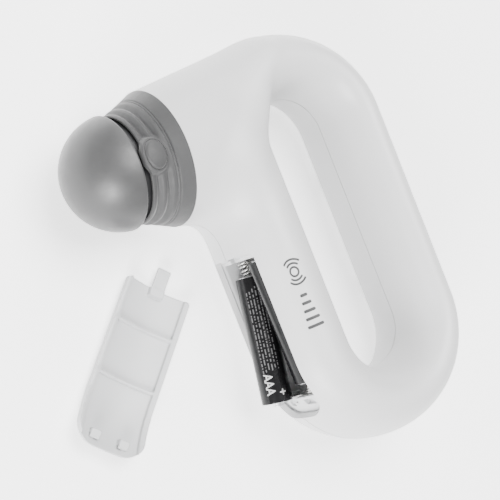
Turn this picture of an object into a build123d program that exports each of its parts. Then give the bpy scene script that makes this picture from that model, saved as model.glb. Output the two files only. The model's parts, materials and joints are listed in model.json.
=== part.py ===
"""A battery-powered hand massager with a loop handle, as its separate pieces.

The massager lies on its side on a table.  X runs from the massage ball back through the
handle, Y runs up the handle and Z is height.  The origin is the centre of the finger
opening, on the plane where the two casing halves meet.
"""

import os
from math import cos, radians, sin

from build123d import *

os.makedirs("parts", exist_ok=True)

# ---- Handle loop: two elliptical limbs joined by two round ends ----
LOOP_RADIUS = 25.6  # centreline radius of each round end
LIMB_LENGTH = 69.0  # straight length of each limb
FRONT_HALF = 13.6  # half thickness of the front limb, which holds the batteries
REAR_HALF = 9.0  # half thickness of the rear limb
LATERAL_HALF = 20.6  # half width of the loop along Z
WALL = 2.0
END_SECTIONS = 8  # loft spans over each half turn

# ---- Barrel, which leads from the loop to the massage head ----
HEAD_Y = 43.2
MOUTH_X = -50.0
MOUTH_RADIUS = 22.85
CROWN_Y = 60.9  # centre height of the section where the barrel meets the loop's top
CROWN_HALF = 10.4
NECK_RADIUS = 10.2  # concave bend between the barrel and the front limb
NECK_SECTIONS = 4
NECK_SINK = 0.3  # depth of the bend's first and last section under the skin

# ---- Table and lid ----
TABLE_Z = -MOUTH_RADIUS
LID_LENGTH = 57.2
LID_WIDTH = 24.0
LID_TOP_Y = 4.0
LID_THICKNESS = 1.6
LID_FOOT_RADIUS = 7.0
LID_HEAD_RADIUS = 1.5
LID_GAP = 0.3
LID_YAW = 45.0  # turn of the loose lid on the table, from +Y towards +X
LID_CENTRE = (-76.2, -16.5)

WINDOW_DEPTH = 8.0  # depth of the opening behind the casing's front line
WINDOW_REACH = 5.0  # how far the cutting prism starts in front of it

# ---- Battery bay and AAA cells ----
CELL_RADIUS = 5.25
CELL_LENGTH = 44.3
CELL_X = -29.3
CELL_Z = 5.6
CELL_TILT = 11.0  # how far the left cell leans out of the bay
NUB_RADIUS = 1.9
NUB_HEIGHT = 1.0
BAY_TOP_Y = 2.4
BAY_BOTTOM_Y = -46.5
BAY_HALF_WIDTH = 11.2
BAY_FLOOR_X = -23.6
TRAY_INSET = 3.0
CONTACT_THICKNESS = 0.3
COIL_WIRE = 0.45  # radius of the wire
COIL_RADIUS = 2.6
COIL_TURNS = 3.5

# ---- Massage head ----
BALL_RADIUS = 19.1
BALL_X = -63.8
BALL_WALL = 2.0
RIM_X = -65.3
BOOT_FRONT_X = -62.6
BOOT_FRONT_RADIUS = 18.1
CARRIER_RADIUS = 16.75
POD_RADIUS = 12.6
MOTOR_RADIUS = 10.0
MOTOR_FRONT_X = -65.4
MOTOR_BACK_X = -44.0
SHAFT_RADIUS = 1.0
RUNNING_GAP = 0.05

# ---- Power button, on the near side of the rubber boot ----
BUTTON_X = -60.3
BUTTON_ANGLE = 90.5  # around the head's axis, from +Y towards +Z
BUTTON_HALF_X = 3.5
BUTTON_HALF_ROUND = 4.6
BUTTON_TOP = 21.3
BUTTON_BASE = 17.9

HALF_LIMB = LIMB_LENGTH / 2
HEAD_PLANE = Plane(origin=(0, HEAD_Y, 0))
HEAD_AXIS = Axis((0, HEAD_Y, 0), (1, 0, 0))
SCREW_SPOTS = [
    (25.6, 16.0),
    (25.6, -24.0),
    (0.0, -60.1),
    (9.0, 58.6),
    (-30.0, 61.5),
    (-18.0, -20.0),
    (-18.0, 12.0),
]


HANGING = (Align.CENTER, Align.CENTER, Align.MAX)
STANDING = (Align.CENTER, Align.CENTER, Align.MIN)


def finish(piece, name):
    """Label one piece and write it out."""
    piece.part.label = name
    export_step(piece.part, f"parts/{name}.step")


def across_head(x):
    """Plane square to the head's axis, at a given x; its own x is up the handle."""
    return Plane(origin=(x, HEAD_Y, 0), x_dir=(0, 1, 0), z_dir=(1, 0, 0))


# ================================================================ casing ====
def limb(centre_x, half, inset):
    """Straight limb of the loop."""
    with BuildPart() as piece:
        with BuildSketch(Plane.XZ):
            with Locations((centre_x, 0)):
                Ellipse(half - inset, LATERAL_HALF - inset)
        extrude(amount=HALF_LIMB, both=True)
    return piece.part


def round_end(start_angle, centre_y, inset):
    """Half turn of the loop, which thickens from the rear limb to the front limb."""
    with BuildPart() as piece:
        for step in range(END_SECTIONS + 1):
            angle = radians(start_angle + 180 * step / END_SECTIONS)
            share = (1 + cos(angle)) / 2
            half = REAR_HALF * share + FRONT_HALF * (1 - share)
            centre = (LOOP_RADIUS * cos(angle), centre_y + LOOP_RADIUS * sin(angle), 0)
            outward = (cos(angle), sin(angle), 0)
            along = (-sin(angle), cos(angle), 0)
            with BuildSketch(Plane(origin=centre, x_dir=outward, z_dir=along)):
                Ellipse(half - inset, LATERAL_HALF - inset)
        loft()
    return piece.part


def barrel(inset):
    """Flared barrel between the head's mouth and the top of the loop."""
    with BuildPart() as piece:
        with BuildSketch(across_head(MOUTH_X)):
            Circle(MOUTH_RADIUS - inset)
        with BuildSketch(Plane(origin=(0, CROWN_Y, 0), x_dir=(0, 1, 0), z_dir=(1, 0, 0))):
            Ellipse(CROWN_HALF - inset, LATERAL_HALF - inset)
        loft()
    return piece.part


def neck(inset):
    """Elbow with a concave inner bend, from the front limb round into the barrel."""
    bend_x = -LOOP_RADIUS - FRONT_HALF - NECK_RADIUS
    bend_y = HEAD_Y - MOUTH_RADIUS - NECK_RADIUS
    with BuildPart() as piece:
        for step in range(NECK_SECTIONS + 1):
            turn = step / NECK_SECTIONS
            angle = radians(90 * turn)
            half = FRONT_HALF + (MOUTH_RADIUS - FRONT_HALF) * turn**2
            sink = NECK_SINK * abs(cos(2 * angle))
            lateral = LATERAL_HALF + (MOUTH_RADIUS - LATERAL_HALF) * turn - sink
            reach = NECK_RADIUS + sink + half
            centre = (bend_x + reach * cos(angle), bend_y + reach * sin(angle), 0)
            outward = (cos(angle), sin(angle), 0)
            along = (-sin(angle), cos(angle), 0)
            with BuildSketch(Plane(origin=centre, x_dir=outward, z_dir=along)):
                Ellipse(half - sink - inset, lateral - inset)
        loft()
    return piece.part


def casing(inset):
    """The whole casing as one solid, with its skin moved in by the inset."""
    with BuildPart() as piece:
        add(limb(-LOOP_RADIUS, FRONT_HALF, inset))
        add(limb(LOOP_RADIUS, REAR_HALF, inset))
        add(round_end(0, HALF_LIMB, inset))
        add(round_end(180, -HALF_LIMB, inset))
        add(barrel(inset))
        add(neck(inset))
    return piece.part


def window(clearance, depth):
    """Prism in the lid's outline, from in front of the front limb to a depth inside it."""
    with BuildPart() as piece:
        with BuildSketch(Plane.YZ.offset(-LOOP_RADIUS - FRONT_HALF + depth)):
            with Locations((LID_TOP_Y - LID_LENGTH / 2, 0)):
                Rectangle(LID_LENGTH + 2 * clearance, LID_WIDTH + 2 * clearance)
            fillet(vertices().group_by(Axis.X)[0], radius=LID_FOOT_RADIUS + clearance)
            fillet(vertices().group_by(Axis.X)[-1], radius=LID_HEAD_RADIUS + clearance)
        extrude(amount=-depth - WINDOW_REACH)
    return piece.part


OUTER = casing(0)
INNER = casing(WALL)
SKIN = casing(LID_THICKNESS)
SEAT = casing(TRAY_INSET)

BOSS_RADIUS = 3.0
SCREW_SHANK = 1.1
SCREW_HEAD = 2.4
SCREW_HEAD_Z = -9.0
SCREW_TIP_Z = 7.0
SCREW_HEAD_HEIGHT = 1.8
RIB_X = -42.6  # middle of the inner ring that holds the neck sleeve's flange
RIB_BORE = 17.6
RIB_THICKNESS = 1.5
BOARD_X = -30.4
BOARD_LOW_Y = 26.0
BOARD_HIGH_Y = 51.0
BOARD_HALF_WIDTH = 11.0
BOARD_THICKNESS = 1.2
RAIL_SIZE = 4.0  # thickness of the two rails that grip the board's ends


def shell(keep):
    """One half of the casing, with its bosses and inner rib."""
    with BuildPart() as piece:
        add(OUTER)
        add(INNER, mode=Mode.SUBTRACT)
        with BuildPart(mode=Mode.PRIVATE) as inside:
            with Locations(*[(x, y, 0) for x, y in SCREW_SPOTS]):
                Cylinder(BOSS_RADIUS, 2 * MOUTH_RADIUS)
            with BuildSketch(across_head(RIB_X - RIB_THICKNESS / 2)):
                Circle(MOUTH_RADIUS + 1)
                Circle(RIB_BORE, mode=Mode.SUBTRACT)
            extrude(amount=RIB_THICKNESS)
            with Locations((BOARD_X, BOARD_HIGH_Y + 1, 0), (BOARD_X, BOARD_LOW_Y - 1, 0)):
                Box(RAIL_SIZE, 3.0, 2 * MOUTH_RADIUS)
            add(OUTER, mode=Mode.INTERSECT)
        add(inside.part)
        with Locations(*[(x, y, 0) for x, y in SCREW_SPOTS]):
            Cylinder(SCREW_SHANK + 0.15, -2 * SCREW_HEAD_Z + 1, mode=Mode.SUBTRACT)
        with Locations(*[(x, y, SCREW_HEAD_Z) for x, y in SCREW_SPOTS]):
            Cylinder(SCREW_HEAD + 0.3, 20, align=HANGING, mode=Mode.SUBTRACT)
        with Locations((BOARD_X, (BOARD_LOW_Y + BOARD_HIGH_Y) / 2, 0)):
            Box(
                BOARD_THICKNESS + 0.4,
                BOARD_HIGH_Y - BOARD_LOW_Y + 1,
                2 * BOARD_HALF_WIDTH + 1,
                mode=Mode.SUBTRACT,
            )
        add(window(LID_GAP, WINDOW_DEPTH), mode=Mode.SUBTRACT)
        split(bisect_by=Plane.XY, keep=keep)
    return piece


near_shell = shell(Keep.TOP)
finish(near_shell, "near_shell")
far_shell = shell(Keep.BOTTOM)
finish(far_shell, "far_shell")

with BuildPart() as casing_screws:
    with Locations(*[(x, y, SCREW_HEAD_Z) for x, y in SCREW_SPOTS]):
        Cylinder(SCREW_HEAD, SCREW_HEAD_HEIGHT, align=HANGING)
        Cylinder(SCREW_SHANK, SCREW_TIP_Z - SCREW_HEAD_Z, align=STANDING)
    with Locations(*[(x, y, SCREW_HEAD_Z - SCREW_HEAD_HEIGHT) for x, y in SCREW_SPOTS]):
        Box(3.0, 0.7, 1.4, mode=Mode.SUBTRACT)
        Box(0.7, 3.0, 1.4, mode=Mode.SUBTRACT)
finish(casing_screws, "casing_screws")


# =============================================================== lid ====
RIB_HEIGHT = 1.2
FRONT_X = -LOOP_RADIUS - FRONT_HALF
LID_MIDDLE_Y = LID_TOP_Y - LID_LENGTH / 2
RIB_SHARES = (0.26, 0.586)  # places of the two cross ribs, along the lid from its tab end
TAB_WIDTH = 4.7
TAB_REACH = 7.0
HOOK_Y = -48.6
HOOK_Z = 5.2

with BuildPart() as seated_lid:
    add(window(0, WINDOW_DEPTH))
    add(OUTER, mode=Mode.INTERSECT)
    add(SKIN, mode=Mode.SUBTRACT)
    with BuildPart(mode=Mode.PRIVATE) as ribs:
        for side in (-1, 1):
            with Locations((FRONT_X + 6, LID_MIDDLE_Y, side * (LID_WIDTH / 2 - 0.9))):
                Box(16, LID_LENGTH, 1.6)
        for share in RIB_SHARES:
            with Locations((FRONT_X + 6, LID_TOP_Y - share * LID_LENGTH, 0)):
                Box(16, 0.9, LID_WIDTH - 1.0)
        add(window(-0.1, WINDOW_DEPTH), mode=Mode.INTERSECT)
        add(SKIN, mode=Mode.INTERSECT)
        add(casing(LID_THICKNESS + RIB_HEIGHT), mode=Mode.SUBTRACT)
    add(ribs.part)
    with Locations((FRONT_X + 2.9, LID_TOP_Y + TAB_REACH / 2 - 0.75, 0)):
        Box(1.3, TAB_REACH + 1.5, TAB_WIDTH)
    with Locations((FRONT_X + 2.4, LID_TOP_Y - 1.5, 0)):
        Box(2.3, 3.0, TAB_WIDTH)
    with Locations(*[(FRONT_X + 5.9, HOOK_Y, side * HOOK_Z) for side in (-1, 1)]):
        Box(3.4, 1.4, 3.4)

yaw = radians(LID_YAW)
table_plane = Plane(origin=(*LID_CENTRE, TABLE_Z), x_dir=(0, 0, 1), z_dir=(-cos(yaw), sin(yaw), 0))
with BuildPart() as battery_lid:
    add(seated_lid.part.moved(table_plane.location * Pos(-FRONT_X, -LID_MIDDLE_Y, 0)))
finish(battery_lid, "battery_lid")


# ======================================================= battery bay ====
TRAY_BACK_X = -22.2
TRAY_HALF_WIDTH = 13.0
TRAY_FOOT_Y = -53.6
CONTACT_WIDTH = 8.0
CONTACT_HALF_X = 2.5
RELIEF_X = -31.8  # bottom of the dip in the end wall, which the leaning cell lies over


def block(x_range, y_range, z_range, mode=Mode.ADD):
    """Box between two corners, added to the piece in hand."""
    middle = [(low + high) / 2 for low, high in (x_range, y_range, z_range)]
    sizes = [high - low for low, high in (x_range, y_range, z_range)]
    with Locations(tuple(middle)):
        Box(*sizes, mode=mode)


with BuildPart() as battery_tray:
    block((-40, TRAY_BACK_X), (TRAY_FOOT_Y, LID_TOP_Y), (-TRAY_HALF_WIDTH, TRAY_HALF_WIDTH))
    add(SEAT, mode=Mode.INTERSECT)
    block((-41, BAY_FLOOR_X), (BAY_BOTTOM_Y, BAY_TOP_Y), (-BAY_HALF_WIDTH, BAY_HALF_WIDTH), Mode.SUBTRACT)
    notch_z = (-TAB_WIDTH / 2 - 0.5, TAB_WIDTH / 2 + 0.5)
    block((-41, -34.2), (BAY_TOP_Y - 0.5, LID_TOP_Y + 1), notch_z, Mode.SUBTRACT)
    block((-29.5, -20), (TRAY_FOOT_Y - 1, BAY_BOTTOM_Y - 1.6), (-20, 20), Mode.SUBTRACT)
    for side in (-1, 1):
        slot_z = (side * HOOK_Z - 2.0, side * HOOK_Z + 2.0)
        block((-40, -31.0), (HOOK_Y - 1.0, HOOK_Y + 1.0), slot_z, Mode.SUBTRACT)
    block((-41, RELIEF_X), (BAY_BOTTOM_Y - 1.9, BAY_BOTTOM_Y + 0.1), (-10.9, -0.3), Mode.SUBTRACT)
finish(battery_tray, "battery_tray")


def contact_plate(y, direction, z_range):
    """Flat plate on an end wall of the bay; direction is the way it faces along Y."""
    y_range = sorted((y, y + direction * CONTACT_THICKNESS))
    with BuildPart() as piece:
        block((CELL_X - CONTACT_HALF_X, CELL_X + CONTACT_HALF_X), y_range, z_range)
    return piece


def coil(y_start, y_end, z):
    """Battery spring between two heights along Y."""
    direction = 1 if y_end > y_start else -1
    length = abs(y_end - y_start) - 2 * COIL_WIRE
    with BuildPart() as piece:
        with BuildLine() as line:
            Helix(
                pitch=length / COIL_TURNS,
                height=length,
                radius=COIL_RADIUS,
                center=(CELL_X, y_start + direction * COIL_WIRE, z),
                direction=(0, direction, 0),
            )
        with BuildSketch(Plane(origin=line.wire() @ 0, z_dir=line.wire() % 0)):
            Circle(COIL_WIRE)
        sweep(path=line.wire(), is_frenet=True)
    return piece


LEFT_BASE_Y = -3.8  # flat end of the left cell, which is its turning point
RIGHT_BASE_Y = BAY_TOP_Y - CONTACT_THICKNESS - 0.1 - CELL_LENGTH
COIL_GAP = 0.75
TOP_FACE_Y = BAY_TOP_Y - CONTACT_THICKNESS
BOTTOM_FACE_Y = BAY_BOTTOM_Y + CONTACT_THICKNESS

for name, side in (("negative_plate", -1), ("positive_plate", 1)):
    plate_z = (side * CELL_Z - CONTACT_WIDTH / 2, side * CELL_Z + CONTACT_WIDTH / 2)
    finish(contact_plate(BAY_TOP_Y, -1, plate_z), name)
bridge_z = (-CELL_Z - CONTACT_WIDTH / 2, CELL_Z + CONTACT_WIDTH / 2)
finish(contact_plate(BAY_BOTTOM_Y, 1, bridge_z), "bridge_plate")
finish(coil(TOP_FACE_Y, LEFT_BASE_Y + COIL_GAP, -CELL_Z), "upper_spring")
finish(coil(BOTTOM_FACE_Y, RIGHT_BASE_Y - COIL_GAP, CELL_Z), "lower_spring")


# ============================================================= cells ====
CAN_RADIUS = 5.0
BASE_HEIGHT = 0.35


def write_cell(side, base):
    """AAA cell in three pieces, standing on the base plane with its nub along the normal."""
    body_top = CELL_LENGTH - NUB_HEIGHT
    with BuildPart() as can:
        with BuildSketch(base.offset(BASE_HEIGHT)):
            Circle(CAN_RADIUS)
        extrude(amount=body_top - BASE_HEIGHT)
        with BuildSketch(base.offset(body_top)):
            Circle(NUB_RADIUS)
        extrude(amount=NUB_HEIGHT)
    finish(can, f"{side}_cell_can")
    with BuildPart() as jacket:
        with BuildSketch(base.offset(BASE_HEIGHT)):
            Circle(CELL_RADIUS)
            Circle(CAN_RADIUS, mode=Mode.SUBTRACT)
        extrude(amount=body_top - 2 * BASE_HEIGHT)
    finish(jacket, f"{side}_cell_jacket")
    with BuildPart() as foot:
        with BuildSketch(base):
            Circle(CAN_RADIUS - 0.6)
        extrude(amount=BASE_HEIGHT)
    finish(foot, f"{side}_cell_base")


tilt = radians(CELL_TILT)
left_base = Plane(origin=(CELL_X, LEFT_BASE_Y, -CELL_Z), x_dir=(0, 0, 1), z_dir=(-sin(tilt), -cos(tilt), 0))
right_base = Plane(origin=(CELL_X, RIGHT_BASE_Y, CELL_Z), x_dir=(0, 0, 1), z_dir=(0, 1, 0))
write_cell("left", left_base)
write_cell("right", right_base)


# ====================================================== massage head ====
def turned(*outline):
    """Solid turned about the head's axis from an outline of (x, radius) points."""
    with BuildPart() as piece:
        with BuildSketch(HEAD_PLANE):
            with BuildLine():
                Polyline(*outline, close=True)
            make_face()
        revolve(axis=HEAD_AXIS)
    return piece


def tube(x_start, x_end, outside, inside=0.0):
    """Plain tube or rod on the head's axis."""
    return turned((x_start, inside), (x_end, inside), (x_end, outside), (x_start, outside))


POST_RADIUS = 1.9
POST_CIRCLE = 13.9
POST_COUNT = 3
POST_START_ANGLE = 30
POST_DEPTH = 12.0
BALL_SCREW = 0.7
BALL_SCREW_LENGTH = 6.5
BALL_SCREW_HEAD = 1.15
CARRIER_FRONT_X = -68.0
POD_DISC_X = -65.6
POD_BACK_X = -41.0
NOSE_RADIUS = 3.0
NOSE_FRONT_X = -67.6
TERMINAL_Z = 5.0
TERMINAL_HALF_WIDTH = 1.2
TERMINAL_BACK_X = -39.3

with BuildPart() as massage_ball:
    with Locations((BALL_X, HEAD_Y, 0)):
        Sphere(BALL_RADIUS)
        Sphere(BALL_RADIUS - BALL_WALL, mode=Mode.SUBTRACT)
    with BuildPart(mode=Mode.PRIVATE) as posts:
        with BuildSketch(across_head(CARRIER_FRONT_X)):
            with PolarLocations(POST_CIRCLE, POST_COUNT, start_angle=POST_START_ANGLE):
                Circle(POST_RADIUS)
        extrude(amount=-POST_DEPTH)
        with Locations((BALL_X, HEAD_Y, 0)):
            Sphere(BALL_RADIUS - BALL_WALL / 2, mode=Mode.INTERSECT)
    add(posts.part)
    with BuildSketch(across_head(CARRIER_FRONT_X)):
        with PolarLocations(POST_CIRCLE, POST_COUNT, start_angle=POST_START_ANGLE):
            Circle(BALL_SCREW + 0.05)
    extrude(amount=-5, mode=Mode.SUBTRACT)
    with BuildSketch(across_head(RIM_X)):
        Circle(BALL_RADIUS + 1)
    extrude(amount=2 * BALL_RADIUS, mode=Mode.SUBTRACT)
finish(massage_ball, "massage_ball")

with BuildPart() as motor_pod:
    add(
        turned(
            (CARRIER_FRONT_X, NOSE_RADIUS + 0.2),
            (CARRIER_FRONT_X, CARRIER_RADIUS - 0.7),
            (CARRIER_FRONT_X + 1.3, CARRIER_RADIUS - 0.05),
            (-61.6, CARRIER_RADIUS - 0.05),
            (-61.6, CARRIER_RADIUS - 1.6),
            (POD_DISC_X, CARRIER_RADIUS - 1.6),
            (POD_DISC_X, POD_RADIUS),
            (POD_BACK_X, POD_RADIUS),
            (POD_BACK_X, MOTOR_RADIUS + RUNNING_GAP),
            (POD_DISC_X, MOTOR_RADIUS + RUNNING_GAP),
            (POD_DISC_X, NOSE_RADIUS + 0.2),
        ).part
    )
    with BuildSketch(across_head(CARRIER_FRONT_X)):
        with PolarLocations(POST_CIRCLE, POST_COUNT, start_angle=POST_START_ANGLE):
            Circle(BALL_SCREW + 0.05)
    extrude(amount=POD_DISC_X - CARRIER_FRONT_X, mode=Mode.SUBTRACT)
finish(motor_pod, "motor_pod")

with BuildPart() as ball_screws:
    with BuildSketch(across_head(POD_DISC_X)):
        with PolarLocations(POST_CIRCLE, POST_COUNT, start_angle=POST_START_ANGLE):
            Circle(BALL_SCREW)
    extrude(amount=-BALL_SCREW_LENGTH)
    with BuildSketch(across_head(POD_DISC_X)):
        with PolarLocations(POST_CIRCLE, POST_COUNT, start_angle=POST_START_ANGLE):
            Circle(BALL_SCREW_HEAD)
    extrude(amount=1.1)
finish(ball_screws, "ball_screws")

with BuildPart() as pod_cap:
    add(tube(POD_BACK_X, POD_BACK_X + 1.4, POD_RADIUS).part)
    for side in (-1, 1):
        slot_z = (side * TERMINAL_Z - 0.6, side * TERMINAL_Z + 0.6)
        block((POD_BACK_X - 1, POD_BACK_X + 3), (HEAD_Y - 1.4, HEAD_Y + 1.4), slot_z, Mode.SUBTRACT)
finish(pod_cap, "pod_cap")

# ---- Motor ----
CAN_WALL = 0.8
END_CAP_BACK_X = -41.3
REAR_BUSH_RADIUS = 2.4
finish(
    turned(
        (MOTOR_FRONT_X, NOSE_RADIUS),
        (MOTOR_FRONT_X, MOTOR_RADIUS),
        (MOTOR_BACK_X, MOTOR_RADIUS),
        (MOTOR_BACK_X, MOTOR_RADIUS - CAN_WALL),
        (MOTOR_FRONT_X + CAN_WALL, MOTOR_RADIUS - CAN_WALL),
        (MOTOR_FRONT_X + CAN_WALL, NOSE_RADIUS),
    ),
    "motor_can",
)
finish(tube(NOSE_FRONT_X, MOTOR_FRONT_X + 1.6, NOSE_RADIUS, SHAFT_RADIUS + RUNNING_GAP), "front_bush")

TERMINAL_Y = (HEAD_Y - TERMINAL_HALF_WIDTH, HEAD_Y + TERMINAL_HALF_WIDTH)

with BuildPart() as motor_end_cap:
    add(
        turned(
            (MOTOR_BACK_X, REAR_BUSH_RADIUS),
            (MOTOR_BACK_X, MOTOR_RADIUS),
            (END_CAP_BACK_X, MOTOR_RADIUS),
            (END_CAP_BACK_X, 0),
            (END_CAP_BACK_X - CAN_WALL, 0),
            (END_CAP_BACK_X - CAN_WALL, REAR_BUSH_RADIUS),
        ).part
    )
    for side in (-1, 1):
        terminal_z = (side * TERMINAL_Z - 0.3, side * TERMINAL_Z + 0.3)
        block((-46, -40), TERMINAL_Y, terminal_z, Mode.SUBTRACT)
finish(motor_end_cap, "motor_end_cap")
rear_bush = tube(MOTOR_BACK_X, END_CAP_BACK_X - CAN_WALL, REAR_BUSH_RADIUS, SHAFT_RADIUS + RUNNING_GAP)
finish(rear_bush, "rear_bush")

with BuildPart() as motor_terminals:
    for side in (-1, 1):
        terminal_z = (side * TERMINAL_Z - 0.3, side * TERMINAL_Z + 0.3)
        block((MOTOR_BACK_X, TERMINAL_BACK_X), TERMINAL_Y, terminal_z)
finish(motor_terminals, "motor_terminals")

with BuildPart() as motor_brushes:
    for side in (-1, 1):
        block((-46.4, MOTOR_BACK_X), (HEAD_Y - 1.0, HEAD_Y + 1.0), sorted((side * 4.6, side * 5.3)))
        block((-47.4, -45.4), (HEAD_Y - 0.8, HEAD_Y + 0.8), sorted((side * 2.55, side * 4.6)))
finish(motor_brushes, "motor_brushes")

MAGNET_FRONT_X = -62.5
MAGNET_BACK_X = -49.5
MAGNET_BORE = 7.2
with BuildPart() as motor_magnets:
    with BuildSketch(across_head(MAGNET_FRONT_X)):
        Circle(MOTOR_RADIUS - CAN_WALL - 0.02)
        Circle(MAGNET_BORE, mode=Mode.SUBTRACT)
        Rectangle(5.0, 30.0, mode=Mode.SUBTRACT)
    extrude(amount=MAGNET_BACK_X - MAGNET_FRONT_X)
finish(motor_magnets, "motor_magnets")

SHAFT_FRONT_X = -76.4
SHAFT_BACK_X = -42.4
SLOT_COUNT = 3
CORE_FRONT_X = -61.0
CORE_LENGTH = 10.0
CORE_RADIUS = 6.7
WINDING_RADIUS = 6.0
WINDING_LENGTH = 1.8
CORE_BACK_X = CORE_FRONT_X + CORE_LENGTH
COMMUTATOR_RADIUS = 2.4
COMMUTATOR_BACK_X = -45.0

finish(tube(SHAFT_FRONT_X, SHAFT_BACK_X, SHAFT_RADIUS), "motor_shaft")
with BuildPart() as rotor_core:
    with BuildSketch(across_head(CORE_FRONT_X)):
        Circle(CORE_RADIUS)
        with PolarLocations(5.0, SLOT_COUNT):
            Rectangle(4.4, 1.3, mode=Mode.SUBTRACT)
        Circle(SHAFT_RADIUS, mode=Mode.SUBTRACT)
    extrude(amount=CORE_LENGTH)
finish(rotor_core, "rotor_core")
with BuildPart() as rotor_windings:
    add(tube(CORE_FRONT_X - WINDING_LENGTH, CORE_FRONT_X, WINDING_RADIUS, SHAFT_RADIUS).part)
    add(tube(CORE_BACK_X, CORE_BACK_X + WINDING_LENGTH, WINDING_RADIUS, SHAFT_RADIUS).part)
finish(rotor_windings, "rotor_windings")
commutator = tube(CORE_BACK_X + WINDING_LENGTH, COMMUTATOR_BACK_X, COMMUTATOR_RADIUS, SHAFT_RADIUS)
finish(commutator, "commutator")

WEIGHT_FRONT_X = -75.4
WEIGHT_LENGTH = 6.0
WEIGHT_RADIUS = 8.6
WEIGHT_HUB = 2.6
with BuildPart() as eccentric_weight:
    with BuildSketch(across_head(WEIGHT_FRONT_X)):
        Circle(WEIGHT_RADIUS)
        with Locations((-WEIGHT_RADIUS, 0)):
            Rectangle(2 * WEIGHT_RADIUS, 2 * WEIGHT_RADIUS, mode=Mode.SUBTRACT)
        Circle(WEIGHT_HUB)
        Circle(SHAFT_RADIUS, mode=Mode.SUBTRACT)
    extrude(amount=WEIGHT_LENGTH)
finish(eccentric_weight, "eccentric_weight")

# ---- Rubber boot, its sleeve and the button ----
SLEEVE_OUTSIDE = 15.8
SLEEVE_INSIDE = 14.6
SLEEVE_FRONT_X = -59.8
FLANGE_BACK_X = RIB_X - RIB_THICKNESS / 2
FLANGE_THICKNESS = 1.4
FLANGE_RADIUS = 20.2
SWITCH_X = -57.6
SWITCH_SEAT = 15.4
SWITCH_SIZE = 4.2
SWITCH_HEIGHT = 1.5
button_angle = radians(BUTTON_ANGLE)
button_plane = Plane(
    origin=(BUTTON_X, HEAD_Y, 0), x_dir=(1, 0, 0), z_dir=(0, cos(button_angle), sin(button_angle))
)
switch_plane = Plane(
    origin=(SWITCH_X, HEAD_Y, 0), x_dir=(1, 0, 0), z_dir=(0, cos(button_angle), sin(button_angle))
)

with BuildPart() as neck_sleeve:
    add(
        turned(
            (SLEEVE_FRONT_X, SLEEVE_INSIDE),
            (SLEEVE_FRONT_X, SLEEVE_OUTSIDE),
            (FLANGE_BACK_X - FLANGE_THICKNESS, SLEEVE_OUTSIDE),
            (FLANGE_BACK_X - FLANGE_THICKNESS, FLANGE_RADIUS),
            (FLANGE_BACK_X, FLANGE_RADIUS),
            (FLANGE_BACK_X, SLEEVE_INSIDE),
        ).part
    )
    with BuildSketch(switch_plane.offset(SWITCH_SEAT)):
        Rectangle(SWITCH_SIZE + 0.2, 2 * SWITCH_SIZE)
    extrude(amount=3, mode=Mode.SUBTRACT)
finish(neck_sleeve, "neck_sleeve")

finish(tube(-58.0, -50.0, SLEEVE_INSIDE, POD_RADIUS + 0.15), "isolation_ring")

BOOT_SKIN = [
    (MOUTH_X - 0.05, 22.8),
    (-51.8, 22.3),
    (-53.6, 21.35),
    (-54.6, 20.55),
    (-56.1, 20.35),
    (-57.5, 19.4),
    (-58.9, 19.4),
    (-60.2, 18.6),
    (-61.4, 18.6),
    (BOOT_FRONT_X, BOOT_FRONT_RADIUS),
]
SPIGOT_BACK_X = FLANGE_BACK_X - FLANGE_THICKNESS
SPIGOT_INSIDE = 18.7
PAD_BASE = 17.6
PAD_MARGIN = 0.5
PAD_GAP = 0.15
SPIGOT_RADIUS = 19.8
with BuildPart() as rubber_boot:
    with BuildSketch(HEAD_PLANE):
        with BuildLine():
            skin = Spline(*BOOT_SKIN)
            Polyline(
                skin @ 1,
                (BOOT_FRONT_X, 17.25),
                (-56.0, 17.6),
                (-52.0, SPIGOT_INSIDE),
                (SPIGOT_BACK_X, SPIGOT_INSIDE),
                (SPIGOT_BACK_X, SPIGOT_RADIUS),
                (MOUTH_X - 0.05, SPIGOT_RADIUS),
                skin @ 0,
            )
        make_face()
    revolve(axis=HEAD_AXIS)
    with BuildSketch(button_plane.offset(PAD_BASE)):
        Ellipse(BUTTON_HALF_X + PAD_MARGIN, BUTTON_HALF_ROUND + PAD_MARGIN)
    extrude(amount=1.6)
    with BuildSketch(button_plane.offset(PAD_BASE - 3)):
        Ellipse(BUTTON_HALF_X + PAD_GAP, BUTTON_HALF_ROUND + PAD_GAP)
    extrude(amount=10, mode=Mode.SUBTRACT)
finish(rubber_boot, "rubber_boot")

with BuildPart() as power_button:
    with BuildSketch(button_plane.offset(BUTTON_BASE)):
        Ellipse(BUTTON_HALF_X, BUTTON_HALF_ROUND)
    extrude(amount=BUTTON_TOP - BUTTON_BASE)
    fillet(power_button.edges().filter_by(GeomType.ELLIPSE).sort_by(Axis.Z)[-1:], radius=1.5)
finish(power_button, "power_button")

with BuildPart() as tact_switch:
    with BuildSketch(switch_plane.offset(SWITCH_SEAT)):
        Rectangle(SWITCH_SIZE, SWITCH_SIZE)
    extrude(amount=SWITCH_HEIGHT)
    with BuildSketch(switch_plane.offset(SWITCH_SEAT + SWITCH_HEIGHT)):
        Circle(1.0)
    extrude(amount=0.4)
finish(tact_switch, "tact_switch")

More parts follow.
